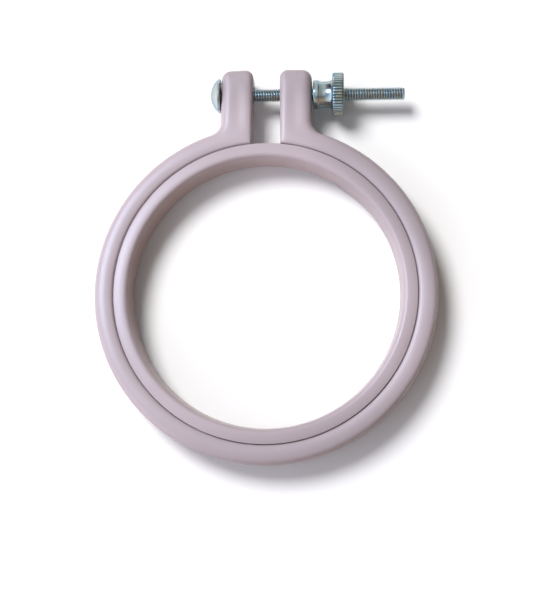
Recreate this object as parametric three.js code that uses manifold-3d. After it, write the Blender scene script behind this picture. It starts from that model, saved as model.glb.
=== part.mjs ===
// A screw-tightened embroidery hoop, lying flat: +Z up, the two ears towards +Y, the screw along +X.
// Lengths are in millimetres. The origin is under the middle of the whole hoop, on the table.

import * as THREE from 'three';
import { mergeVertices } from 'three/addons/utils/BufferGeometryUtils.js';
import Module from 'manifold-3d';

const wasm = await Module();
wasm.setup();

// Driving sizes of the two rings
const hoopHeight = 9.5;
const outerRadius = 50.8;
const outerRingWidth = 5.7;
const ringClearance = 0.3;
const innerRingWidth = 3.85;
const innerWallDraft = 1.0;
const outerEdgeRounding = 1.6;
const innerEdgeRounding = 0.9;
const innerGrooveRounding = 0.45;

// Driving sizes of the ears that the screw draws together
const clampGap = 8.1;
const clampGapFlare = 0.25;
const earWidth = 9.8;
const earDraft = 0.15;
const earLength = 17.4;
const earOuterCorner = 2.8;
const earInnerCorner = 2.4;
const earFillet = 4.3;
const screwInset = 6.9;
const bendCut = 0.3;

// Driving sizes of the screw and its thumb nut
const screwDiameter = 4.0;
const screwLength = 55.9;
const threadPitch = 0.79375;
const threadDepth = 0.45;
const threadClearance = 0.2;
const tipChamfer = 0.5;
const holeClearance = 0.85;
const seatClearance = 0.3;
const headDiameter = 10.3;
const headRimHeight = 0.75;
const headDomeHeight = 2.4;
const headRimRounding = 0.3;
const recessReach = 2.3;
const recessWidth = 0.95;
const recessDepth = 1.7;
const recessTurn = 25;
const collarDiameter = 8.7;
const collarLength = 1.75;
const collarChamfer = 0.3;
const waistDiameter = 7.86;
const waistLength = 4.05;
const flareDiameter = 9.6;
const rimDiameter = 13.1;
const rimWidth = 3.45;
const rimRounding = 0.6;
const ridgeCount = 44;
const ridgeDepth = 0.35;

// Where the nut's waist is narrowest and where its flare begins, as shares of the waist's length, and how
// far it has swollen there towards the flare
const neckShare = 0.45;
const flareStartShare = 0.84;
const flareStartSwell = 0.42;

// The largest share of a corner's radius, or of half a wall, that a rounded edge may take
const roundingLimit = 0.9;

// How finely the curves are divided
const ringStep = 3;
const cornerSteps = 4;
const filletSteps = 6;
const edgeSteps = 2;
const holeSides = 24;
const threadSides = 12;
const headSides = 32;
const domeSteps = 6;
const collarSides = 32;
const waistSteps = 7;
const mergeDistance = 1e-5;

// Sizes that follow from the driving ones
const boreRadius = outerRadius - outerRingWidth;
const innerRingRadius = boreRadius - ringClearance;
const openingTopRadius = innerRingRadius - innerRingWidth;
const openingBottomRadius = openingTopRadius - innerWallDraft;
const earInnerX = clampGap / 2;
const earOuterX = earInnerX + earWidth;
const earEndY = outerRadius + earLength;
const screwY = earEndY - screwInset;
const screwZ = hoopHeight / 2;
const screwRadius = screwDiameter / 2;
const threadRootRadius = screwRadius - threadDepth;
const headRadius = headDiameter / 2;
const rimRadius = rimDiameter / 2;
const seatX = earOuterX + seatClearance;
const nutStart = 2 * seatX;
const nutLength = collarLength + waistLength + rimWidth;
const smallestHalf = Math.min(earInnerCorner, outerRingWidth / 2, hoopHeight / 2);
const ringRounding = Math.min(outerEdgeRounding, roundingLimit * smallestHalf);

// Shaft directions: lathes and cylinders are made round Y, and shafts run along Z
const quarterTurn = Math.PI / 2;
const fullTurn = 2 * Math.PI;
const cutMargin = 1;

// A closed geometry as a solid that can be joined and cut
function solidFrom(geometry) {
  const bare = geometry.clone();
  bare.deleteAttribute('normal');
  bare.deleteAttribute('uv');
  const merged = mergeVertices(bare, mergeDistance);
  const triangles = [];
  for (let i = 0; i < merged.index.count; i += 3) {
    const corners = [merged.index.getX(i), merged.index.getX(i + 1), merged.index.getX(i + 2)];
    if (new Set(corners).size === 3) triangles.push(...corners);
  }
  const mesh = new wasm.Mesh({
    numProp: 3,
    vertProperties: Float32Array.from(merged.attributes.position.array),
    triVerts: Uint32Array.from(triangles),
  });
  return new wasm.Manifold(mesh);
}

// A joined or cut solid as a geometry with flat faces
function geometryFrom(solid) {
  const mesh = solid.getMesh();
  const indexed = new THREE.BufferGeometry();
  indexed.setAttribute('position', new THREE.BufferAttribute(mesh.vertProperties, 3));
  indexed.setIndex(new THREE.BufferAttribute(mesh.triVerts, 1));
  const geometry = indexed.toNonIndexed();
  geometry.computeVertexNormals();
  return geometry;
}

// Points of an arc from one angle to another, in radians, both ends included
function arcPoints(centreX, centreY, radius, start, end, steps) {
  const points = [];
  for (let i = 0; i <= steps; i++) {
    const angle = start + ((end - start) * i) / steps;
    points.push(new THREE.Vector2(centreX + radius * Math.cos(angle), centreY + radius * Math.sin(angle)));
  }
  return points;
}

// Steps that divide an arc of a ring about evenly
function ringSteps(start, end) {
  return Math.max(4, Math.round(Math.abs(end - start) / THREE.MathUtils.degToRad(ringStep)));
}

// Turns a lathe made round Y so that its axis runs along Z
function latheAlongZ(points, sides) {
  return new THREE.LatheGeometry(points, sides).rotateX(quarterTurn);
}

// Right half of the open ring's outline, from its lowest point round to the gap and back along the bore
function rightOutline() {
  const filletX = earOuterX + earFillet;
  const filletY = Math.sqrt((outerRadius + earFillet) ** 2 - filletX ** 2);
  const filletAngle = Math.atan2(filletY, filletX);
  const outerCornerX = earOuterX - earDraft - earOuterCorner;
  const outerCornerY = earEndY - earOuterCorner;
  const innerCornerX = earInnerX + earInnerCorner;
  const innerCornerY = earEndY - earInnerCorner;
  const gapAngle = Math.acos((earInnerX + clampGapFlare) / boreRadius);
  return [
    ...arcPoints(0, 0, outerRadius, -quarterTurn, filletAngle, ringSteps(-quarterTurn, filletAngle)),
    ...arcPoints(filletX, filletY, earFillet, filletAngle + Math.PI, Math.PI, filletSteps).slice(1),
    ...arcPoints(outerCornerX, outerCornerY, earOuterCorner, 0, quarterTurn, cornerSteps),
    ...arcPoints(innerCornerX, innerCornerY, earInnerCorner, quarterTurn, Math.PI, cornerSteps),
    ...arcPoints(0, 0, boreRadius, gapAngle, -quarterTurn, ringSteps(gapAngle, -quarterTurn)),
  ];
}

// The outer ring as it is moulded: one open ring with two ears and a clearance hole for the screw
function mouldedOuterRing() {
  const right = rightOutline();
  const left = right.slice(1, -1).reverse().map((point) => new THREE.Vector2(-point.x, point.y));
  const outline = new THREE.Shape([...right, ...left]);
  const body = new THREE.ExtrudeGeometry(outline, {
    depth: hoopHeight - 2 * ringRounding,
    bevelThickness: ringRounding,
    bevelSize: ringRounding,
    bevelOffset: -ringRounding,
    bevelSegments: edgeSteps,
  }).translate(0, 0, ringRounding);
  const holeRadius = screwRadius + holeClearance;
  const hole = new THREE.CylinderGeometry(holeRadius, holeRadius, 2 * (earOuterX + cutMargin), holeSides);
  hole.rotateZ(quarterTurn).translate(0, screwY, screwZ);
  return solidFrom(body).subtract(solidFrom(hole));
}

// One half of the moulded ring, cut at the middle of the gap and at the bend opposite it
function outerRingHalf(moulding, side) {
  const reach = outerRadius + cutMargin;
  const depth = earEndY + reach + cutMargin;
  const keep = new THREE.BoxGeometry(reach, depth, hoopHeight + 2 * cutMargin);
  keep.translate(side * (bendCut / 2 + reach / 2), depth / 2 - reach, hoopHeight / 2);
  return geometryFrom(moulding.intersect(solidFrom(keep)));
}

// The plain inner ring, whose inner wall leans out towards the top
function innerRing() {
  const rim = innerEdgeRounding;
  const groove = innerGrooveRounding;
  const top = hoopHeight;
  const profile = [
    ...arcPoints(innerRingRadius - groove, groove, groove, -quarterTurn, 0, edgeSteps),
    ...arcPoints(innerRingRadius - groove, top - groove, groove, 0, quarterTurn, edgeSteps),
    ...arcPoints(openingTopRadius + rim, top - rim, rim, quarterTurn, Math.PI, edgeSteps),
    ...arcPoints(openingBottomRadius + rim, rim, rim, Math.PI, Math.PI + quarterTurn, edgeSteps),
  ];
  profile.push(profile[0].clone());
  return geometryFrom(solidFrom(latheAlongZ(profile, Math.round(360 / ringStep))));
}

// A right-hand thread round Z with sharp crests and roots. It has a crest at angle 0 wherever z is a
// whole number of pitches, and it is whole from one height to the other and ragged past them.
function threadSolid(crestRadius, rootRadius, low, high) {
  const firstTurn = Math.floor(low / threadPitch) - 2;
  const lastRow = 2 * (Math.ceil(high / threadPitch) + 2 - firstTurn);
  const positions = [];
  for (let column = 0; column < threadSides; column++) {
    const angle = (fullTurn * column) / threadSides;
    for (let row = 0; row <= lastRow; row++) {
      const radius = row % 2 === 0 ? crestRadius : rootRadius;
      const height = (firstTurn + row / 2 + column / threadSides) * threadPitch;
      positions.push(radius * Math.cos(angle), radius * Math.sin(angle), height);
    }
  }
  const vertex = (column, row) => {
    const seam = column === threadSides;
    return (seam ? 0 : column) * (lastRow + 1) + (seam ? row + 2 : row);
  };
  const index = [];
  for (let column = 0; column < threadSides; column++) {
    const rows = column === threadSides - 1 ? lastRow - 2 : lastRow;
    for (let row = 0; row < rows; row++) {
      const near = vertex(column, row);
      const far = vertex(column + 1, row);
      index.push(near, far, far + 1, near, far + 1, near + 1);
    }
  }
  const bottomRim = [];
  for (let column = 0; column <= threadSides; column++) bottomRim.push(vertex(column, 0));
  bottomRim.push(vertex(0, 1));
  const lastColumn = threadSides - 1;
  const topRim = [vertex(0, lastRow), vertex(lastColumn, lastRow - 2), vertex(lastColumn, lastRow - 1)];
  for (let column = lastColumn; column > 0; column--) topRim.push(vertex(column, lastRow));
  const capEnd = (rim, height) => {
    const tip = positions.length / 3;
    positions.push(0, 0, height);
    rim.forEach((here, i) => index.push(rim[(i + 1) % rim.length], here, tip));
  };
  capEnd(bottomRim, (firstTurn - 1) * threadPitch);
  capEnd(topRim, (firstTurn + lastRow / 2 + 2) * threadPitch);
  const geometry = new THREE.BufferGeometry();
  geometry.setAttribute('position', new THREE.Float32BufferAttribute(positions, 3));
  geometry.setIndex(index);
  return solidFrom(geometry);
}

// The screw, along Z from the underside of its head: threaded all the way, with a cross recess in its dome
function clampScrew() {
  const sleeveRadius = screwDiameter;
  const sleeve = [
    new THREE.Vector2(0, -headRimHeight / 2),
    new THREE.Vector2(sleeveRadius, -headRimHeight / 2),
    new THREE.Vector2(sleeveRadius, screwLength - tipChamfer - (sleeveRadius - screwRadius)),
    new THREE.Vector2(screwRadius - tipChamfer, screwLength),
    new THREE.Vector2(0, screwLength),
  ];
  const shaft = threadSolid(screwRadius, threadRootRadius, -headRimHeight, screwLength)
    .intersect(solidFrom(latheAlongZ(sleeve, headSides)));
  const headTop = -headRimHeight - headDomeHeight;
  const domeRadius = (headRadius ** 2 + headDomeHeight ** 2) / (2 * headDomeHeight);
  const domeAngle = Math.asin(headRadius / domeRadius);
  const head = [
    ...arcPoints(0, headTop + domeRadius, domeRadius, -quarterTurn, domeAngle - quarterTurn, domeSteps),
    new THREE.Vector2(headRadius, -headRimRounding),
    new THREE.Vector2(headRadius - headRimRounding, 0),
    new THREE.Vector2(0, 0),
  ];
  let screw = shaft.add(solidFrom(latheAlongZ(head, headSides)));
  for (const turn of [0, quarterTurn]) {
    const slot = new THREE.BoxGeometry(2 * recessReach, recessWidth, 2 * recessDepth);
    slot.rotateZ(turn + THREE.MathUtils.degToRad(recessTurn)).translate(0, 0, headTop);
    screw = screw.subtract(solidFrom(slot));
  }
  return geometryFrom(screw);
}

// The knurled rim of the nut, standing on the height z = 0
function knurledRim() {
  const outline = [];
  for (let i = 0; i < 2 * ridgeCount; i++) {
    const radius = i % 2 === 0 ? rimRadius : rimRadius - ridgeDepth;
    const angle = (Math.PI * i) / ridgeCount;
    outline.push(new THREE.Vector2(radius * Math.cos(angle), radius * Math.sin(angle)));
  }
  return new THREE.ExtrudeGeometry(new THREE.Shape(outline), {
    depth: rimWidth - 2 * rimRounding,
    bevelThickness: rimRounding,
    bevelSize: rimRounding,
    bevelOffset: -rimRounding,
    bevelSegments: 1,
  }).translate(0, 0, rimRounding);
}

// The thumb nut, in the screw's own frame, so that the two threads run in each other
function thumbNut() {
  const collarRadius = collarDiameter / 2;
  const waistRadius = waistDiameter / 2;
  const flareRadius = flareDiameter / 2;
  const rimFace = nutStart + collarLength + waistLength;
  const waistStart = nutStart + collarLength;
  const flareStartRadius = waistRadius + flareStartSwell * (flareRadius - waistRadius);
  const waist = new THREE.SplineCurve([
    new THREE.Vector2(collarRadius - collarChamfer, waistStart),
    new THREE.Vector2(waistRadius, waistStart + neckShare * waistLength),
    new THREE.Vector2(flareStartRadius, waistStart + flareStartShare * waistLength),
    new THREE.Vector2(flareRadius, rimFace),
  ]);
  const profile = [
    new THREE.Vector2(0, nutStart),
    new THREE.Vector2(collarRadius - collarChamfer, nutStart),
    new THREE.Vector2(collarRadius, nutStart + collarChamfer),
    new THREE.Vector2(collarRadius, waistStart - collarChamfer),
    ...waist.getPoints(waistSteps),
    new THREE.Vector2(flareRadius, rimFace + rimWidth / 2),
    new THREE.Vector2(0, rimFace + rimWidth / 2),
  ];
  const body = solidFrom(latheAlongZ(profile, collarSides));
  const rim = solidFrom(knurledRim().translate(0, 0, rimFace));
  const thread = threadSolid(
    screwRadius + threadClearance, threadRootRadius + threadClearance, nutStart, nutStart + nutLength);
  return geometryFrom(body.add(rim).subtract(thread));
}

function addPiece(group, name, geometry, material) {
  const mesh = new THREE.Mesh(geometry, material);
  mesh.name = name;
  group.add(mesh);
}

const outerPlastic = new THREE.MeshStandardMaterial({ color: 0xc9bcc6, roughness: 0.32, metalness: 0 });
const innerPlastic = new THREE.MeshStandardMaterial({ color: 0xccbfc6, roughness: 0.34, metalness: 0 });
const zincScrew = new THREE.MeshStandardMaterial({ color: 0xa9b4b8, roughness: 0.3, metalness: 1 });
const zincNut = new THREE.MeshStandardMaterial({ color: 0xb4bdbe, roughness: 0.26, metalness: 1 });

// The rings stand clear of the table by as much as the fattest piece of hardware reaches below them
const hardwareDrop = Math.max(rimRadius, headRadius, screwZ) - screwZ;
const rings = new THREE.Group();
rings.position.set(0, (outerRadius - earEndY) / 2, hardwareDrop);
const moulding = mouldedOuterRing();
addPiece(rings, 'outer_ring_right', outerRingHalf(moulding, 1), outerPlastic);
addPiece(rings, 'outer_ring_left', outerRingHalf(moulding, -1), outerPlastic);
addPiece(rings, 'inner_ring', innerRing(), innerPlastic);

const hardware = new THREE.Group();
hardware.position.set(-seatX, screwY, screwZ);
hardware.rotation.y = quarterTurn;
addPiece(hardware, 'clamp_screw', clampScrew(), zincScrew);
addPiece(hardware, 'thumb_nut', thumbNut(), zincNut);
rings.add(hardware);

const hoop = new THREE.Group();
hoop.add(rings);

export default hoop;
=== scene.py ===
# %% [markdown]
# # A screw-tightened embroidery hoop
#
# The hoop is two plastic rings, one inside the other. The outer ring is open at the top, where
# its two ends turn out into ears. A mushroom-head screw goes through both ears and a knurled
# thumb nut draws them together, so that the outer ring squeezes the cloth against the inner one.
#
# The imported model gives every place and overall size. This script reads those first, and adds
# the fine shape and the finish of each piece: soft moulded edges, a rolled thread, a knurled
# rim, zinc plate.

# %% Load the frame
import math

import bmesh
import bpy
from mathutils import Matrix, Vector


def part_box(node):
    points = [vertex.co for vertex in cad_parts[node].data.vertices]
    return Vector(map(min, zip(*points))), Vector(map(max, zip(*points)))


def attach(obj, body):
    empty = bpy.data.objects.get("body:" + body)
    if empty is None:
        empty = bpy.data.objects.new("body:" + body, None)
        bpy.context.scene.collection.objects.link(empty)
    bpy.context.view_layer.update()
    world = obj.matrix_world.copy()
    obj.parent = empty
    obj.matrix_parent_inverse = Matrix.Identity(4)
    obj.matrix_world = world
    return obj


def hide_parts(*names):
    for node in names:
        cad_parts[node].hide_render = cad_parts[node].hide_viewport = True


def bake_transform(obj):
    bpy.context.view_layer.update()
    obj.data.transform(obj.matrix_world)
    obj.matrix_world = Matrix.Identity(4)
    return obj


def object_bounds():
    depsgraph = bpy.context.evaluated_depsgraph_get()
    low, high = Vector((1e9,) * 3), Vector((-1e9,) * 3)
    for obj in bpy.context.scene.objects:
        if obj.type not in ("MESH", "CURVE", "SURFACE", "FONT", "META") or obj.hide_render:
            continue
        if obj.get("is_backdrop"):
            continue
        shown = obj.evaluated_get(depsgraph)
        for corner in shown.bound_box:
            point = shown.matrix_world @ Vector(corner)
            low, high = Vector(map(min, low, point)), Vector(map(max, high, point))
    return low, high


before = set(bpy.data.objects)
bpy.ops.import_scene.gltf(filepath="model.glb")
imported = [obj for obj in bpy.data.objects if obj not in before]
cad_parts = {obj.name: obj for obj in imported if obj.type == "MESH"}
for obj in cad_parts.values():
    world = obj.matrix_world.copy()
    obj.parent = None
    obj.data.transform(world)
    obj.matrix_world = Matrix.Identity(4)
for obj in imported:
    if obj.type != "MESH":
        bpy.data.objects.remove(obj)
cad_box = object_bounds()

MM = 0.001
print("CAD nodes:", ", ".join(sorted(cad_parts)))

# %% [markdown]
# ## Where things are
#
# The rings share a centre line, which is the middle of the inner ring's box. The screw and the
# nut share an axis along X, which is the middle of the nut's box. Everything below is placed
# from these few numbers, so a hoop of another diameter would only need another model.

# %% Read the places from the frame
inner_low, inner_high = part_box("inner_ring")
_, right_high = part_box("outer_ring_right")
screw_low, screw_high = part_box("clamp_screw")
nut_low, nut_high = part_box("thumb_nut")

centre = (inner_low + inner_high) / 2
hoop_height = inner_high.z - inner_low.z
outer_radius = right_high.x - centre.x
inner_radius = (inner_high.x - inner_low.x) / 2
ear_end = right_high.y - centre.y

axis_y = (nut_low.y + nut_high.y) / 2
axis_z = (nut_low.z + nut_high.z) / 2
head_end, screw_tip = screw_low.x, screw_high.x
nut_face, nut_end = nut_low.x, nut_high.x
head_radius = (screw_high.z - screw_low.z) / 2
rim_radius = (nut_high.z - nut_low.z) / 2


def on_axis(x):
    """A point on the axis of the screw and the nut."""
    return Vector((x, axis_y, axis_z))


print(f"outer radius {outer_radius / MM:.2f} mm, hoop height {hoop_height / MM:.2f} mm")

# %% [markdown]
# ## Small helpers for meshes
#
# A finished object sits at the origin and carries its place in its mesh. Smooth shading with an
# angle limit keeps moulded roundings soft and cut edges crisp. A hole could be modelled corner
# by corner, but a Boolean cut finds where it meets a rounded surface by itself.

# %% Mesh helpers
crease_angle = math.radians(38)


def new_object(name, mesh):
    """An object in the scene that shows this mesh."""
    piece = bpy.data.objects.new(name, mesh)
    bpy.context.scene.collection.objects.link(piece)
    return piece


def mesh_from(name, corners, faces=()):
    """A mesh from lists of corners and faces."""
    mesh = bpy.data.meshes.new(name)
    mesh.from_pydata([tuple(corner) for corner in corners], [], list(faces))
    mesh.update()
    return mesh


def close_shell(piece, merge=0.0):
    """Joins corners closer than merge, turns the faces of a closed mesh out, and measures it."""
    shell = bmesh.new()
    shell.from_mesh(piece.data)
    if merge:
        bmesh.ops.remove_doubles(shell, verts=shell.verts, dist=merge)
    bmesh.ops.recalc_face_normals(shell, faces=shell.faces)
    open_edges = sum(len(edge.link_faces) != 2 for edge in shell.edges)
    print(f"{piece.name}: {len(shell.faces)} faces, {open_edges} open edges")
    shell.to_mesh(piece.data)
    shell.free()


def soften(piece):
    """Smooth shading that keeps edges sharper than the crease angle."""
    mesh = piece.data
    mesh.polygons.foreach_set("use_smooth", [True] * len(mesh.polygons))
    mesh.set_sharp_from_angle(angle=crease_angle)


def settle(piece):
    """Replaces the piece's mesh by what its modifiers make of it, and removes them."""
    graph = bpy.context.evaluated_depsgraph_get()
    settled = bpy.data.meshes.new_from_object(piece.evaluated_get(graph))
    piece.modifiers.clear()
    piece.data = settled


def cut_away(piece, cutter):
    """Cuts one closed mesh out of another and removes the cutter."""
    modifier = piece.modifiers.new("cut", "BOOLEAN")
    modifier.operation = "DIFFERENCE"
    modifier.solver = "EXACT"
    modifier.object = cutter
    settle(piece)
    soften(piece)
    bpy.data.objects.remove(cutter)
    print(f"{piece.name} after the cut: {len(piece.data.polygons)} faces")


# %% [markdown]
# ## Node trees that read like sums
#
# Three kinds of tree are built below: for shapes, for finishes and for the light around the
# hoop. All of them are mostly arithmetic. A `Board` adds nodes to a tree, and each value that it
# hands back can be used with plain plus, minus, times and divide, each of which adds a Math
# node. Placing every node by hand would give the same trees, but nobody could read them.


# %% Boards and wires
class Wire:
    """The value on a socket, which can be used in sums."""

    def __init__(self, board, socket):
        self.board, self.socket = board, socket

    def math(self, operation, *others):
        return self.board.math(operation, self, *others)

    def __add__(self, other):
        return self.board.math("ADD", self, other)

    def __sub__(self, other):
        return self.board.math("SUBTRACT", self, other)

    def __mul__(self, other):
        return self.board.math("MULTIPLY", self, other)

    def __truediv__(self, other):
        return self.board.math("DIVIDE", self, other)

    def __radd__(self, other):
        return self.board.math("ADD", other, self)

    def __rsub__(self, other):
        return self.board.math("SUBTRACT", other, self)

    def __rmul__(self, other):
        return self.board.math("MULTIPLY", other, self)


class Board:
    """A node tree that nodes are added to."""

    def __init__(self, tree):
        self.tree = tree

    def feed(self, socket, value):
        """Links a wire to a socket, or sets a plain value on it."""
        if isinstance(value, Wire):
            self.tree.links.new(value.socket, socket)
        else:
            socket.default_value = value

    def node(self, kind, inputs=None, output=0, **settings):
        """Adds a node: its settings first, then its inputs by name or place. Gives one output."""
        made = self.tree.nodes.new(kind)
        for name, value in settings.items():
            setattr(made, name, value)
        for key, value in (inputs or {}).items():
            self.feed(made.inputs[key], value)
        return Wire(self, made.outputs[output]) if made.outputs else made

    def math(self, operation, *values):
        return self.node("ShaderNodeMath", dict(enumerate(values)), operation=operation)

    def parts(self, vector):
        """The X, Y and Z of a vector, as three wires."""
        split = self.node("ShaderNodeSeparateXYZ", {0: vector})
        return [Wire(self, output) for output in split.socket.node.outputs]

    def rise(self, value, start, end):
        """0 below start, 1 above end, and a smooth rise between them."""
        return self.node("ShaderNodeMapRange", {0: value, 1: start, 2: end},
                         interpolation_type="SMOOTHSTEP")

    def blend(self, share, first, last):
        """A colour on the way from one to another."""
        return self.node("ShaderNodeMix", {0: share, 6: first, 7: last}, 2, data_type="RGBA")

    def ray(self, kind):
        """1 for rays of one kind: Camera, Glossy or Transmission."""
        return self.node("ShaderNodeLightPath", output=f"Is {kind} Ray")


def colour(red, green, blue):
    return (red, green, blue, 1.0)


# %% [markdown]
# Every round shape here is a grid bent round the Z axis: its columns go round and its rows go
# along. What makes the shape is one rule, which gives each point its radius and its height. A
# ring, a thread and a knurl differ only in that rule, so they share the rest.

# %% Shape trees
seam_merge = 0.002 * MM


def shape_tree(name, **kinds):
    """A board for Geometry Nodes, and its named inputs as wires."""
    tree = bpy.data.node_groups.new(name, "GeometryNodeTree")
    tree.interface.new_socket("Geometry", in_out="OUTPUT", socket_type="NodeSocketGeometry")
    tree.interface.new_socket("Geometry", in_out="INPUT", socket_type="NodeSocketGeometry")
    for label, kind in kinds.items():
        tree.interface.new_socket(label, in_out="INPUT", socket_type="NodeSocket" + kind)
    board = Board(tree)
    entry = tree.nodes.new("NodeGroupInput")
    return board, {label: Wire(board, entry.outputs[label]) for label in ("Geometry", *kinds)}


def wrapped_grid(board, columns, rows, shape):
    """A grid bent round Z: shape gives radius and height from the turn (0 to 1) and the row."""
    grid = board.node("GeometryNodeMeshGrid", {0: 1.0, 1: 1.0, 2: columns, 3: rows})
    across, up, _ = board.parts(board.node("GeometryNodeInputPosition"))
    turn = across + 0.5
    row = ((up + 0.5) * (rows - 1.0)).math("ROUND")
    radius, height = shape(turn, row)
    angle = turn * (2 * math.pi)
    spot = board.node("ShaderNodeCombineXYZ", {
        0: radius * angle.math("COSINE"), 1: radius * angle.math("SINE"), 2: height})
    return board.node("GeometryNodeSetPosition", {"Geometry": grid, "Position": spot})


def end_tree(board, geometry, material):
    """How each shape tree ends: seams merged, instances made real, the material given."""
    merged = board.node("GeometryNodeMergeByDistance",
                        {"Geometry": geometry, "Distance": seam_merge})
    real = board.node("GeometryNodeRealizeInstances", {"Geometry": merged})
    painted = board.node("GeometryNodeSetMaterial", {"Geometry": real, "Material": material})
    board.node("NodeGroupOutput", {"Geometry": painted})


def grow(piece, board, **values):
    """Runs a shape tree on a piece with these values for its inputs, and keeps the plain mesh."""
    modifier = piece.modifiers.new(board.tree.name, "NODES")
    modifier.node_group = board.tree
    for item in board.tree.interface.items_tree:
        if item.in_out == "INPUT" and item.name in values:
            modifier[item.identifier] = values[item.name]
    settle(piece)


def set_down(piece, start, along_x=True):
    """Moves a piece made round Z to its place: lying along X from start, or upright there."""
    for vertex in piece.data.vertices:
        x, y, height = vertex.co
        spot = Vector((height, -y, x)) if along_x else Vector((x, y, height))
        vertex.co = spot + start
    close_shell(piece)
    soften(piece)


# %% [markdown]
# ## The plastic
#
# The rings are moulded in a lilac grey. The surface is smooth with a satin gloss, so its look
# comes from small things rather than from a pattern: a faint drift of tone, a slow unevenness
# that makes the highlights waver as they do on any moulding, and a very fine grain that softens
# them. At the ends of the ears, at the foot and at the shoulder the plastic is a little duller,
# and its colour is painted darker there as painted shade.
#
# The unevenness could be modelled, but it is less than a tenth of a millimetre deep and tens of
# millimetres wide. A bump shows it as well and leaves the mesh light.


# %% A finish under construction
class Finish(Board):
    """A material's board, with its main shader and the object's own coordinates at hand."""

    def __init__(self, name):
        self.material = bpy.data.materials.new(name)
        self.material.use_nodes = True
        super().__init__(self.material.node_tree)
        self.shader = next(node for node in self.tree.nodes if node.type == "BSDF_PRINCIPLED")
        self.place = self.node("ShaderNodeTexCoord", output="Object")

    def set(self, **values):
        """Feeds the shader's sockets; an underscore stands for a space."""
        for name, value in values.items():
            self.feed(self.shader.inputs[name.replace("_", " ")], value)

    def moved(self, location=(0, 0, 0), scale=(1, 1, 1)):
        """The object's coordinates, scaled and then moved."""
        return self.node("ShaderNodeMapping",
                         {"Vector": self.place, "Location": location, "Scale": scale})

    def noise(self, place, scale, detail=2.0):
        """Smooth noise between 0 and 1, with about this many features to the metre."""
        return self.node("ShaderNodeTexNoise", {"Vector": place, "Scale": scale, "Detail": detail})

    def bump(self, height, depth):
        """A surface that rises by this many metres where height is 1."""
        return self.node("ShaderNodeBump", {"Height": height, "Distance": depth, "Strength": 1.0})


# %% Moulded plastic
drift_per_metre = 45.0
drift_contrast = (0.3, 0.7)
swell_per_metre = 32.0
grain_per_metre = 1400.0
swell_depth = 0.22 * MM
grain_share = 0.012
# Painted shade: the colour at the ears, the foot and the shoulder is this share of the light one.
painted_shade_tone = 0.80


def painted_shade_places(finish):
    """1 at the ends of the ears, the foot and the shoulder, where painted shade darkens the
    colour.

    The limits are in outer radii from the centre, so they fit a hoop of any diameter.
    """
    x, y, _ = finish.parts(finish.moved(location=-centre))
    x, y = x / outer_radius, y / outer_radius
    foot = finish.rise(0.25 * x - y, 0.6, 1.0)
    shoulder = finish.rise(x + 0.9 * y, 0.9, 1.2) * (1.0 - finish.rise(y, 0.8, 1.0))
    ears = finish.rise(y, 1.02, 1.25)
    return foot.math("MAXIMUM", shoulder).math("MAXIMUM", ears)


def moulded_plastic(name, light, dark, start):
    """start moves the noises, so that the two rings don't show the same pattern."""
    finish = Finish(name)
    place = finish.moved(location=start)
    drift = finish.noise(place, drift_per_metre, 3.0)
    grain = finish.noise(place, grain_per_metre)
    swell = finish.noise(place, swell_per_metre, 1.0)
    unshaded_colour = finish.blend(finish.rise(drift, *drift_contrast), dark, light)
    # Painted shade: the colour is darker at the ears, the foot and the shoulder, and the plastic
    # duller.
    shaded_colour = colour(*(painted_shade_tone * part for part in light[:3]))
    shade_and_dullness = painted_shade_places(finish)
    finish.set(
        Base_Color=finish.blend(shade_and_dullness, unshaded_colour, shaded_colour),
        Roughness=0.27 + 0.07 * drift + 0.06 * grain + 0.04 * shade_and_dullness,
        Normal=finish.bump(swell + grain_share * grain, swell_depth),
        Specular_IOR_Level=0.6)
    print(name, "finish:", len(finish.tree.nodes), "nodes")
    return finish.material


outer_plastic = moulded_plastic(
    "outer_ring_plastic", light=colour(0.490, 0.422, 0.460), dark=colour(0.458, 0.392, 0.427),
    start=(0.00, 0.00, 0.00))
inner_plastic = moulded_plastic(
    "inner_ring_plastic", light=colour(0.492, 0.420, 0.456), dark=colour(0.460, 0.392, 0.426),
    start=(0.31, 0.12, 0.20))

# %% [markdown]
# ## The outer ring
#
# The real ring is one flexible moulding: a C with two ears. All its edges are rounded, most on
# the outside and least beside the inner ring. A plain bevel would fold over itself where the gap
# between the ears meets the bore, so the outline is worked out again for each step of the
# rounding: every arc keeps its centre and only its radius changes. Stacking those outlines gives
# the whole wall, corner for corner.

# %% Outer ring sizes
ring_width = 5.76 * MM
bore_radius = outer_radius - ring_width
ring_rounding = 2.0 * MM
bore_rounding = 1.0 * MM

ear_side = 13.85 * MM
ear_draft = 0.15 * MM
ear_fillet = 4.3 * MM
ear_outer_corner = 2.8 * MM
ear_inner_corner = 2.4 * MM
ear_rounding = 2.4 * MM
ear_end_rounding = 2.0 * MM

gap_half = 4.05 * MM
gap_flare = 0.25 * MM
gap_rounding = 1.6 * MM

rim_steps = 150
fillet_steps = 18
side_steps = 9
outer_corner_steps = 12
inner_corner_steps = 10
gap_steps = 14
crown_steps = 12


# %% Outline of the right half
def partway(first, last, share):
    """The corner this share of the way from one to another."""
    return tuple(a + (b - a) * share for a, b in zip(first, last))


def straight(first, last, steps):
    """The corners between two others, in a straight line."""
    return [partway(first, last, i / steps) for i in range(1, steps)]


def edge_arc(drawn_in, middle, radius, sense, angles, roundings, steps):
    """Corners (x, y, rounding) on an arc of the outline, with angles in degrees.

    drawn_in is how far the outline has moved in, as a share of the rounding there. sense is -1
    where moving in makes the arc smaller, and 1 where it makes it larger.
    """
    corners = []
    for i in range(steps + 1):
        angle, rounding = partway((angles[0], roundings[0]), (angles[1], roundings[1]), i / steps)
        reach = radius + sense * rounding * drawn_in
        turn = math.radians(angle)
        corners.append((middle[0] + reach * math.cos(turn),
                        middle[1] + reach * math.sin(turn), rounding))
    return corners


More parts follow.
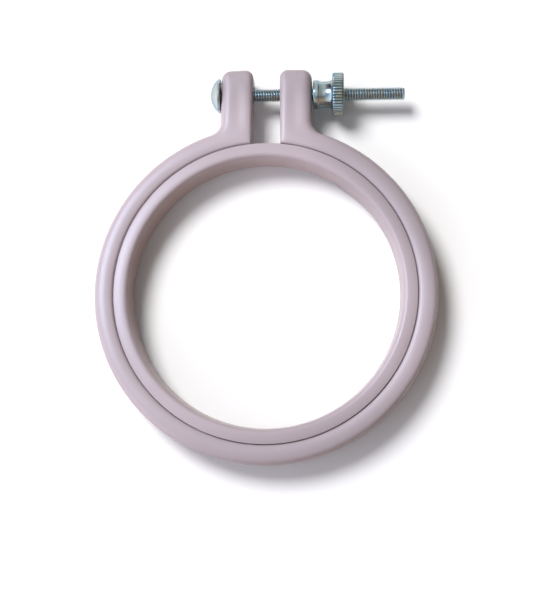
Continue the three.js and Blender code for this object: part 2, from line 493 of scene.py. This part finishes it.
def right_outline(drawn_in):
    """Three runs of corners: up the outside, across the ear's end and down the inside.

    Outside and inside have the same number of corners, so that the top can span between them.
    """
    fillet_x = ear_side + ear_fillet
    fillet_y = math.sqrt((outer_radius + ear_fillet) ** 2 - fillet_x ** 2)
    shoulder = math.degrees(math.atan2(fillet_y, fillet_x))
    outside = edge_arc(drawn_in, (0, 0), outer_radius, -1, (-90, shoulder),
                       (ring_rounding, ring_rounding), rim_steps)
    outside += edge_arc(drawn_in, (fillet_x, fillet_y), ear_fillet, 1, (shoulder + 180, 180),
                        (ring_rounding, ear_rounding), fillet_steps)[1:]
    corner_middle = (ear_side - ear_draft - ear_outer_corner, ear_end - ear_outer_corner)
    corner = edge_arc(drawn_in, corner_middle, ear_outer_corner, -1, (0, 90),
                      (ear_rounding, ear_end_rounding), outer_corner_steps)
    outside += straight(outside[-1], corner[0], side_steps) + corner

    corner_middle = (gap_half + ear_inner_corner, ear_end - ear_inner_corner)
    inside = edge_arc(drawn_in, corner_middle, ear_inner_corner, -1, (90, 180),
                      (gap_rounding, gap_rounding), inner_corner_steps)
    end_line = straight(outside[-1], inside[0], crown_steps)
    gap_x = gap_half + gap_flare + bore_rounding * drawn_in
    gap_angle = math.acos(gap_x / (bore_radius + bore_rounding * drawn_in))
    gap_foot = (gap_x, gap_x * math.tan(gap_angle), bore_rounding)
    inside += straight(inside[-1], gap_foot, gap_steps)
    inside += edge_arc(drawn_in, (0, 0), bore_radius, 1, (math.degrees(gap_angle), -90),
                       (bore_rounding, bore_rounding), len(outside) - len(inside) - 1)
    return outside, end_line, inside


print("corners up the outside:", len(right_outline(0)[0]))

# %% [markdown]
# The top isn't flat either. It is crowned a little all the way round, as a finger feels at once,
# and the light on it changes smoothly from one side to the other. On the ears, where the plastic
# is thickest, the moulding has sunk as it cooled, which leaves a shallow hollow. So the top is a
# strip of small spans from the outside to the inside, each an arc with or without the hollow.

# %% Crown and hollow
crown_slope = math.radians(12)
crown_drop = 0.18 * MM
ear_hollow = 0.19 * MM
ear_begins = (outer_radius - 5 * MM, outer_radius + 1 * MM)
hollow_ends = (ear_end - 9 * MM, ear_end - 3 * MM)
arch_ends = (ear_end - 5 * MM, ear_end - 2 * MM)


def smooth(value, start, end):
    """0 before start, 1 after end, and a smooth rise between them."""
    share = min(max((value - start) / (end - start), 0.0), 1.0)
    return share * share * (3 - 2 * share)


def top_drop(y, across):
    """How far a point of the top lies below the crest; across goes from -1 to 1 over the span."""
    on_ear = smooth(y, *ear_begins)
    hollow = ear_hollow * on_ear * (1 - smooth(y, *hollow_ends))
    arch = across ** 2 + (across ** 4 - across ** 2) * on_ear
    arch += (1 - arch) * smooth(y, *arch_ends)
    return crown_drop * arch + hollow * (1 - across ** 2) ** 2


# %% Stack the outlines and span the top
rounding_steps = 9
corner_merge = 0.001 * MM


def patchwork(rows, corners, faces):
    """Adds rows of corners and the faces between them."""
    start, count = len(corners), len(rows[0])
    corners += [corner for row in rows for corner in row]
    for row in range(len(rows) - 1):
        for i in range(count - 1):
            low = start + row * count + i
            faces.append((low, low + 1, low + 1 + count, low + count))


def outer_ring_mesh():
    """Three patches for each half, the right one and its mirror: the wall, the top, the foot."""
    steepest = math.pi / 2 - crown_slope
    tilts = [steepest * i / rounding_steps for i in range(rounding_steps + 1)]
    levels = [(1, tilt) for tilt in reversed(tilts)] + [(-1, tilt) for tilt in tilts]
    near_line, _, far_line = right_outline(1 - math.cos(steepest))
    corners, faces = [], []
    for mirror in (1, -1):

        def spot(x, y, drop, side):
            """A corner that lies drop below the crest on the top (side 1) or the foot (-1)."""
            height = hoop_height / 2 - drop
            return centre.x + mirror * x, centre.y + y, centre.z + side * height

        walls = []
        for side, tilt in levels:
            sunk = math.sin(steepest) - math.sin(tilt)
            walls.append([spot(x, y, crown_drop + rounding * sunk, side)
                          for run in right_outline(1 - math.cos(tilt))
                          for x, y, rounding in run])
        patchwork(walls, corners, faces)
        for side in (1, -1):
            spans = []
            for near, far in zip(near_line, reversed(far_line)):
                shares = [i / crown_steps for i in range(crown_steps + 1)]
                line = [(share, partway(near, far, share)) for share in shares]
                spans.append([spot(x, y, top_drop(y, 2 * share - 1), side)
                              for share, (x, y, _) in line])
            patchwork(spans, corners, faces)
    return mesh_from("outer_ring", corners, faces)


outer_ring = new_object("outer_ring", outer_ring_mesh())
close_shell(outer_ring, merge=corner_merge)

# %% [markdown]
# The hole for the screw goes through both ears. One rod, cut away from the ring, makes it on
# both sides at once and keeps the two holes in line. It is wider than the screw, because the
# left ear turns a little when the hoop is opened.

# %% Drill the ears
hole_radius = 2.85 * MM
hole_sides = 64
rod_length = 2.4 * ear_side


def drill():
    """A rod through both ears, longer than they reach."""
    rod = bmesh.new()
    bmesh.ops.create_cone(rod, cap_ends=True, segments=hole_sides, radius1=hole_radius,
                          radius2=hole_radius, depth=rod_length)
    mesh = bpy.data.meshes.new("drill")
    rod.to_mesh(mesh)
    rod.free()
    piece = new_object("drill", mesh)
    set_down(piece, on_axis(centre.x))
    return piece


cut_away(outer_ring, drill())
outer_ring.data.materials.clear()
outer_ring.data.materials.append(outer_plastic)

# %% [markdown]
# ## One tree turns every round piece
#
# The inner ring, the screw's head and the nut are all turned shapes: a profile carried round an
# axis. A Screw modifier could do that for the first two, but it can't knurl. Geometry Nodes can
# do both. The object holds only the profile's corners, with the radius in X and the height in Z.
# The tree makes a grid with one column for each step round the axis and one row for each corner,
# looks each corner up by its row, and bends the grid into a ring.
#
# The knurled surface is a cylinder with grooves, and the turned surface is never allowed outside
# it, which is how a knurling wheel and a lathe tool share a rim.


# %% The turning tree
def turning_tree():
    board, given = shape_tree(
        "turned_piece", Segments="Int", Ridges="Int", RidgeRadius="Float", RidgeDepth="Float",
        CrestShare="Float", Material="Material")
    corners = board.node("GeometryNodeAttributeDomainSize", {"Geometry": given["Geometry"]})

    def shape(turn, row):
        corner = board.node("GeometryNodeSampleIndex", {
            "Geometry": given["Geometry"], "Value": board.node("GeometryNodeInputPosition"),
            "Index": row}, data_type="FLOAT_VECTOR")
        profile_radius, _, height = board.parts(corner)
        phase = (turn * given["Ridges"] + 0.5).math("FRACT")
        off_crest = (phase - 0.5).math("ABSOLUTE") * 2.0
        slope = (off_crest - given["CrestShare"]) / (1.0 - given["CrestShare"])
        knurled = given["RidgeRadius"] - slope.math("MAXIMUM", 0.0) * given["RidgeDepth"]
        return profile_radius.math("MINIMUM", knurled), height

    ring = wrapped_grid(board, given["Segments"] + 1.0, corners, shape)
    end_tree(board, ring, given["Material"])
    return board


turning = turning_tree()


def turn_piece(name, profile, segments, start, material, along_x=True, **ridges):
    """Turns a closed profile of (radius, height) corners and puts it in place."""
    piece = new_object(name, mesh_from(name, [(radius, 0, height) for radius, height in profile]))
    sizes = {"Ridges": 1, "RidgeRadius": 1.0, "RidgeDepth": 0.0, "CrestShare": 0.3, **ridges}
    grow(piece, turning, Segments=segments, Material=material, **sizes)
    set_down(piece, start, along_x)
    return piece


def arc(x, y, radius, start, end, steps):
    """Corners of an arc in a profile, both ends included, with angles in degrees."""
    angles = [math.radians(start + (end - start) * i / steps) for i in range(steps + 1)]
    return [(x + radius * math.cos(angle), y + radius * math.sin(angle)) for angle in angles]


# %% [markdown]
# ## The inner ring
#
# A plain ring with its edges eased. Its inner wall leans: the opening is wider on top than
# below, which lets the ring leave its mould, and shows as a band of wall all the way round when
# seen from above. The top is crowned too, but its crest is near the opening, so that most of it
# falls gently outwards. The edge that meets the outer ring is nearly sharp, so that the groove
# between the rings is a fine line.
#
# A bevelled box section would show as flat bands with hard changes of light. Three arcs that
# touch smoothly make each side of the section instead.

# %% Turn the inner ring
top_width = 4.2 * MM
wall_lean = 0.65 * MM
rim_easing = 1.3 * MM
groove_easing = 0.3 * MM
groove_closing = 0.11 * MM
easing_steps = 7
crown_radius = 11 * MM
crest_inset = 1.7 * MM
ring_segments = 360


def crowned_side(opening, groove):
    """One side of the section with its two eased edges, from the groove to the opening."""
    crest = opening + crest_inset
    base = hoop_height / 2 - crown_radius
    groove_slope = math.asin((groove - groove_easing - crest) / (crown_radius - groove_easing))
    rim_slope = math.asin((crest - opening - rim_easing) / (crown_radius - rim_easing))
    groove_height = base + (crown_radius - groove_easing) * math.cos(groove_slope)
    rim_height = base + (crown_radius - rim_easing) * math.cos(rim_slope)
    start, end = 90 - math.degrees(groove_slope), 90 + math.degrees(rim_slope)
    corners = arc(groove - groove_easing, groove_height, groove_easing, 0, start, easing_steps)
    corners += arc(crest, base, crown_radius, start, end, crown_steps)[1:]
    corners += arc(opening + rim_easing, rim_height, rim_easing, end, 180, easing_steps)[1:]
    return corners


def inner_ring_profile():
    groove = inner_radius + groove_closing
    opening = inner_radius - top_width
    top = crowned_side(opening, groove)
    foot = reversed(crowned_side(opening - wall_lean, groove))
    return top + [(radius, -height) for radius, height in foot] + top[:1]


inner_ring = turn_piece("inner_ring_moulding", inner_ring_profile(), ring_segments, centre,
                        inner_plastic, along_x=False)

# %% [markdown]
# ## Zinc plate
#
# The screw and the nut are steel with bright zinc plate: a metal that mirrors what is round it,
# a little blue, with a drift of warmer tint where the passivation is thinner. Turning leaves
# fine rings round the axis, which a noise squeezed along X gives, and which spread the
# reflections across the piece.
#
# The hollows of a thread or a knurl are painted darker than the crests, as painted shade.
# They could be found by their crevices, but both shapes are turned about the same axis, so the
# distance from that axis says exactly how deep in a hollow a point is.

# %% Plated steel
screw_radius = 2.0 * MM
head_dome = 2.4 * MM
head_rim = 0.75 * MM
head_foot = head_end + head_dome + head_rim
tint_per_metre = 380.0
tint_contrast = (0.35, 0.7)
rings_per_metre = (11000.0, 250.0, 250.0)
ring_depth = 0.004 * MM
# Painted shade in the hollows of the thread and the knurl: how much of it, and its colour.
hollow_shade_share = 0.5
hollow_shade_colour = colour(0.09, 0.10, 0.10)


def zinc_plate(name, cool, warm, shine, hollow):
    """hollow takes the finish, the distance from the axis and X, and gives 1 where shade is
    painted.
    """
    finish = Finish(name)
    along_axis = finish.moved(location=-on_axis(0.0))
    along, across, up = finish.parts(along_axis)
    off_axis = (across * across + up * up).math("SQRT")
    tint = finish.noise(along_axis, tint_per_metre, 3.0)
    rings = finish.noise(finish.moved(scale=rings_per_metre), 1.0)
    clean = finish.blend(finish.rise(tint, *tint_contrast), cool, warm)
    # Painted shade: the hollows are painted darker than the crests.
    hollow_shade = hollow(finish, off_axis, along) * hollow_shade_share
    finish.set(
        Base_Color=finish.blend(hollow_shade, clean, hollow_shade_colour),
        Roughness=shine + 0.08 * tint + 0.06 * rings,
        Normal=finish.bump(rings, ring_depth),
        Metallic=1.0,
        Specular_Tint=colour(0.45, 0.55, 0.60))
    print(name, "finish:", len(finish.tree.nodes), "nodes")
    return finish.material


def in_thread(finish, off_axis, along):
    """The roots of the thread, well below its crests, and not the head."""
    root = finish.rise(screw_radius - off_axis, 0.08 * MM, 0.38 * MM)
    return root * finish.rise(along, head_foot - 0.05 * MM, head_foot + 0.05 * MM)


def between_ridges(finish, off_axis, along):
    """The grooves of the knurl, a short way below its crests, and not the faces of the rim."""
    below_crest = rim_radius - off_axis
    groove = finish.rise(below_crest, 0.04 * MM, 0.3 * MM)
    return groove * (1.0 - finish.rise(below_crest, 0.5 * MM, 0.9 * MM))


screw_zinc = zinc_plate("screw_zinc", cool=colour(0.52, 0.65, 0.71), warm=colour(0.60, 0.61, 0.55),
                        shine=0.20, hollow=in_thread)
nut_zinc = zinc_plate("nut_zinc", cool=colour(0.37, 0.52, 0.58), warm=colour(0.56, 0.55, 0.47),
                      shine=0.19, hollow=between_ridges)

# %% [markdown]
# ## The screw
#
# A thread could be a small profile swept along a helix, but its ends would stick out of the
# shaft. It is also one rule all the way along: the radius depends only on how far a point is
# from the nearest crest, and the crest moves on by one pitch for each turn. The tree shears a
# grid so that its rows follow the thread, which keeps every crest clean with only a few rows to
# the pitch. At each end the grid is pressed flat, and a small chamfer trims the last turn at the
# tip, as a rolled screw has.


# %% The thread tree
def thread_tree():
    board, given = shape_tree(
        "rolled_thread", Sides="Int", RowsPerPitch="Int", Pitch="Float", Radius="Float",
        Depth="Float", CrestShare="Float", RootShare="Float", Length="Float", Chamfer="Float",
        Material="Material")
    pitch, length = given["Pitch"], given["Length"]
    step = pitch / given["RowsPerPitch"]
    # Two pitches more than the length, because the shear moves the grid by one of them.
    rows = (length / step).math("CEIL") + given["RowsPerPitch"] * 2.0
    lead_in = pitch * 1.5

    def shape(turn, row):
        sheared = (row * step) + (turn * pitch) - lead_in
        phase = ((row + 0.5) / given["RowsPerPitch"]).math("FRACT")
        off_root = (phase - 0.5).math("ABSOLUTE") * 2.0
        wave = (off_root - given["RootShare"]) / (1.0 - given["RootShare"] - given["CrestShare"])
        wave = wave.math("MAXIMUM", 0.0).math("MINIMUM", 1.0)
        thread = given["Radius"] - (1.0 - wave) * given["Depth"]
        left = length - sheared
        trimmed = (given["Radius"] - given["Chamfer"]) + left.math("MAXIMUM", 0.0)
        before_tip = (left + step).math("GREATER_THAN", 0.0)
        past_start = (sheared + step).math("GREATER_THAN", 0.0)
        radius = thread.math("MINIMUM", trimmed) * (before_tip * past_start)
        return radius, sheared.math("MAXIMUM", 0.0).math("MINIMUM", length)

    end_tree(board, wrapped_grid(board, given["Sides"] + 1.0, rows, shape), given["Material"])
    return board


# %% Roll the shaft
thread_pitch = 0.79375 * MM
thread_depth = 0.45 * MM
tip_chamfer = 0.45 * MM


def threaded_shaft():
    """The shaft starts inside the head, under the dome."""
    start = head_end + head_dome
    shaft = new_object("machine_screw", mesh_from("machine_screw", [(0, 0, 0)]))
    grow(shaft, thread_tree(), Sides=32, RowsPerPitch=8, Pitch=thread_pitch, Radius=screw_radius,
         Depth=thread_depth, CrestShare=0.22, RootShare=0.1, Length=screw_tip - start,
         Chamfer=tip_chamfer, Material=screw_zinc)
    set_down(shaft, on_axis(start))
    return shaft


screw = threaded_shaft()

# %% [markdown]
# The head is a shallow dome on a thin rim, with a cross recess. The dome is turned from an arc,
# which gives its true curve and a clean pole. The recess is cut with four wings that narrow
# towards their foot, because the bit that drives it is tapered. It stands a little turned, as a
# screw stops wherever it is tight.

# %% Turn the head
head_segments = 128
head_edge = 0.28 * MM
dome_steps = 16
edge_steps = 4
recess_reach = 2.3 * MM
recess_width = 0.95 * MM
recess_depth = 1.7 * MM
recess_foot = 0.45
recess_turn = 25


def screw_head():
    dome_radius = (head_radius ** 2 + head_dome ** 2) / (2 * head_dome)
    dome_angle = math.degrees(math.asin(head_radius / dome_radius))
    foot = head_dome + head_rim
    profile = arc(0, dome_radius, dome_radius, -90, dome_angle - 90, dome_steps)
    profile += arc(head_radius - head_edge, foot - head_edge, head_edge, 0, 90, edge_steps)
    profile += [(screw_radius, foot), (0, foot)]
    return turn_piece("screw_head", profile, head_segments, on_axis(head_end), screw_zinc)


def recess_cutter():
    """A cross-shaped prism that tapers towards its foot, its mouth outside the dome."""
    half = recess_width / 2
    mouth = []
    for quarter in range(4):
        turn = math.radians(recess_turn + 90 * quarter)
        for out, across in ((recess_reach, -half), (recess_reach, half), (half, half)):
            mouth.append((out * math.cos(turn) - across * math.sin(turn),
                          out * math.sin(turn) + across * math.cos(turn)))
    corners = [(head_end - half, axis_y + y, axis_z + z) for y, z in mouth]
    corners += [(head_end + recess_depth, axis_y + y * recess_foot, axis_z + z * recess_foot)
                for y, z in mouth]
    count = len(mouth)
    faces = [list(range(count)), list(reversed(range(count, 2 * count)))]
    for i in range(count):
        j = (i + 1) % count
        faces.append((i, i + count, j + count, j))
    cutter = new_object("cutter", mesh_from("cutter", corners, faces))
    close_shell(cutter)
    return cutter


head = screw_head()
cut_away(head, recess_cutter())

# %% Join head and shaft
with bpy.context.temp_override(active_object=screw, selected_editable_objects=[screw, head]):
    bpy.ops.object.join()
print("screw with its head:", len(screw.data.polygons), "faces")

# %% [markdown]
# ## The thumb nut
#
# Turned from bar: a short collar that bears on the ear, a hollow waist for the fingertips, a
# flare, and a rim knurled with straight ridges. The waist is one smooth curve through a few
# points, as a tool ground to that shape leaves it. The profile is closed through the bore, so
# the nut has a real hole. The ridges could be copies of one wedge, each joined to the rim, but
# the turning tree cuts them into the same surface with nothing to join.

# %% Turn and knurl the nut
bore_clear = 2.15 * MM
collar_radius = 4.35 * MM
collar_length = 1.75 * MM
collar_chamfer = 0.3 * MM
waist_radius = 3.93 * MM
waist_length = 4.05 * MM
waist_lowest = 0.45
flare_radius = 4.8 * MM
flare_share, flare_place = 0.36, 0.88
waist_steps = 6
knurl_easing = 0.6 * MM
knurl_steps = 6
ridge_count = 44
ridge_depth = 0.35 * MM
steps_per_ridge = 8


def smooth_through(points, steps):
    """A smooth curve through points: each span is a cubic that leans on its neighbours."""
    ends = [Vector(point) for point in (points[0], *points, points[-1])]
    curve = []
    for before, here, there, after in zip(ends, ends[1:], ends[2:], ends[3:]):
        for step in range(steps):
            t = step / steps
            spot = 2 * here + (there - before) * t
            spot += (2 * before - 5 * here + 4 * there - after) * t ** 2
            spot += (3 * here - before - 3 * there + after) * t ** 3
            curve.append(tuple(spot / 2))
    return curve + [tuple(ends[-1])]


def nut_profile():
    length = nut_end - nut_face
    rim_face = collar_length + waist_length
    collar_flat = collar_radius - collar_chamfer
    collar_foot = collar_length - collar_chamfer
    knurl_flat = rim_radius - knurl_easing
    flare_start = waist_radius + flare_share * (flare_radius - waist_radius)
    corners = [(bore_clear, collar_chamfer), (bore_clear + collar_chamfer, 0)]
    corners += arc(collar_flat, collar_chamfer, collar_chamfer, -90, 0, edge_steps)
    corners += arc(collar_flat, collar_foot, collar_chamfer, 0, 90, edge_steps)
    corners += smooth_through([
        (collar_flat, collar_length),
        (waist_radius, collar_length + waist_lowest * waist_length),
        (flare_start, collar_length + flare_place * waist_length),
        (flare_radius, rim_face)], waist_steps)[1:]
    corners += arc(knurl_flat, rim_face + knurl_easing, knurl_easing, -90, 0, knurl_steps)
    corners += arc(knurl_flat, length - knurl_easing, knurl_easing, 0, 90, knurl_steps)
    corners += [(bore_clear + collar_chamfer, length), (bore_clear, length - collar_chamfer)]
    return corners + corners[:1]


nut = turn_piece("knurled_nut", nut_profile(), ridge_count * steps_per_ridge, on_axis(nut_face),
                 nut_zinc, Ridges=ridge_count, RidgeRadius=rim_radius, RidgeDepth=ridge_depth)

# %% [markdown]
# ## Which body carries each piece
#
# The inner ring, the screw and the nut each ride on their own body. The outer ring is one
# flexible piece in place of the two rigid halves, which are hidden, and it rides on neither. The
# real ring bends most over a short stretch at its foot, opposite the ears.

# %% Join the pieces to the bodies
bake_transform(outer_ring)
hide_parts("outer_ring_right", "outer_ring_left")

for piece, body, slot in (
        (inner_ring, "inner_ring", "inner_ring_plastic"),
        (screw, "clamp_screw", "screw_zinc"),
        (nut, "thumb_nut", "nut_zinc")):
    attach(piece, body)
    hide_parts(body)
    print(piece.name, "rides on", body)

# %% [markdown]
# ## Table, light and camera
#
# The hoop lies on a white table. The table is white to the camera and in reflections, but
# darker and warmer to the light that bounces off it. A table as white as it looks would fill
# the walls of the rings with light from below, and they would lose their depth.


# %% Table
def white_table():
    reach = 1.2
    corners = [(-reach, -reach, 0), (reach, -reach, 0), (reach, reach, 0), (-reach, reach, 0)]
    table = new_object("table", mesh_from("table", corners, [(0, 1, 2, 3)]))
    finish = Finish("table_white")
    shown = finish.ray("Camera") + finish.ray("Glossy") + finish.ray("Transmission")
    shown = shown.math("MINIMUM", 1.0)
    finish.set(
        Base_Color=finish.blend(shown, colour(0.72, 0.58, 0.46), colour(0.98, 0.99, 0.99)),
        Emission_Color=finish.blend(shown, colour(0, 0, 0), colour(0.030, 0.037, 0.041)),
        Emission_Strength=1.0,
        Roughness=0.8,
        Specular_IOR_Level=0.1)
    table.data.materials.append(finish.material)
    table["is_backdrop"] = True


white_table()

# %% [markdown]
# One large soft light, up and to the left, lights the hoop and throws its shadow to the lower
# right. A smaller, bluer one a little higher, like the bright part of a window, is only mirrored
# and draws the thin highlights along the crowned tops. One lamp could do both, but its highlight
# would be as wide as its shadow is soft.


# %% Soft light
def direction(azimuth, height):
    """The way to a compass angle and a height above the table, both in degrees."""
    turn, lift = math.radians(azimuth), math.radians(height)
    level = math.cos(lift)
    return Vector((level * math.cos(turn), level * math.sin(turn), math.sin(lift)))


def soft_light(name, azimuth, height, size, power, tint, mirrored):
    """A round lamp that looks at the hoop. It either lights it, or is only mirrored in it."""
    distance = 1.3
    away = direction(azimuth, height)
    lamp = bpy.data.lights.new(name, "AREA")
    lamp.shape = "DISK"
    lamp.size = size
    lamp.energy = power
    lamp.color = tint
    lamp_object = bpy.data.objects.new(name, lamp)
    lamp_object.location = centre + away * distance
    lamp_object.rotation_euler = away.to_track_quat("Z", "Y").to_euler()
    lamp_object.visible_glossy = mirrored
    lamp_object.visible_diffuse = not mirrored
    bpy.context.scene.collection.objects.link(lamp_object)
    print(f"{name}: {power} W from {azimuth} degrees, {height} degrees up")


soft_light("key", azimuth=132, height=52.6, size=0.62, power=17.6,
           tint=(1.0, 0.99, 1.0), mirrored=False)
soft_light("window", azimuth=151, height=60, size=0.50, power=9.8,
           tint=(0.62, 0.77, 1.0), mirrored=True)

# %% [markdown]
# The room around is pale and cool on the left, warm and dim towards the near side and dark
# elsewhere. A strip of pale ceiling runs over the hoop, so that the thread, the knurl and the
# rounded edges have something to mirror. Real walls would do the same, but a few soft patches
# of colour in the world are lighter to render and easy to move. The camera sees only white.

# %% The room around
strip_edges = (0.06, 0.26)
strip_start = (-0.65, -0.35)
strip_glow = 0.25


def room():
    world = bpy.data.worlds.new("room")
    bpy.context.scene.world = world
    world.use_nodes = True
    board = Board(world.node_tree)
    x, y, z = board.parts(board.node("ShaderNodeTexCoord", output="Generated"))

    def patch(azimuth, height, reach):
        """1 in one direction, falling smoothly to 0 at reach degrees from it."""
        middle = direction(azimuth, height)
        nearness = x * middle.x + y * middle.y + z * middle.z
        return board.rise(nearness, math.cos(math.radians(reach)), 1.0)

    strip = (1.0 - board.rise(x.math("ABSOLUTE"), *strip_edges)) * board.rise(y, *strip_start)
    strip_light = strip * (strip_glow + (1.0 - strip_glow) * board.ray("Glossy"))
    light = board.blend(strip_light, colour(0.06, 0.045, 0.035), colour(0.88, 0.88, 0.88))
    near_side = patch(azimuth=262, height=10, reach=55)
    light = board.blend(near_side, light, colour(0.62, 0.44, 0.30))
    left_side = patch(azimuth=207, height=14, reach=60)
    light = board.blend(left_side, light, colour(1.60, 1.62, 1.95))
    ambient = board.node("ShaderNodeBackground", {"Color": light, "Strength": 1.0})
    white = board.node("ShaderNodeBackground", {"Color": colour(1, 1, 1), "Strength": 1.0})
    shown = board.node("ShaderNodeMixShader", {0: board.ray("Camera"), 1: ambient, 2: white})
    output = next(node for node in world.node_tree.nodes if node.type == "OUTPUT_WORLD")
    board.feed(output.inputs["Surface"], shown)


room()

# %% [markdown]
# The camera stands above the hoop, a little to the near right, and looks almost straight down.
# Its focal length is given in pixels of the picture, because that is what can be measured.

# %% Camera
camera_offset = Vector((23.23, -60.02, 339.27)) * MM
camera_tilt = (math.radians(9.344), math.radians(3.810), math.radians(-0.167))
focal_pixels = 1161.85
picture_height = 614
sensor_size = 36.0

camera = bpy.data.cameras.new("camera")
camera.sensor_width = sensor_size
camera.lens = focal_pixels * sensor_size / picture_height
camera_object = bpy.data.objects.new("camera", camera)
camera_object.rotation_mode = "ZYX"
camera_object.rotation_euler = camera_tilt
camera_object.location = centre + camera_offset
bpy.context.scene.collection.objects.link(camera_object)
bpy.context.scene.camera = camera_object
bpy.context.scene.view_settings.view_transform = "Standard"
print(f"camera: {camera.lens:.2f} mm lens")

# %% Print the two boxes
visual_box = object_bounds()
boxes = {"cad": [list(corner) for corner in cad_box],
         "visual": [list(corner) for corner in visual_box]}
for name, box in boxes.items():
    print(name, "box in mm:", [[round(v / MM, 2) for v in corner] for corner in box])
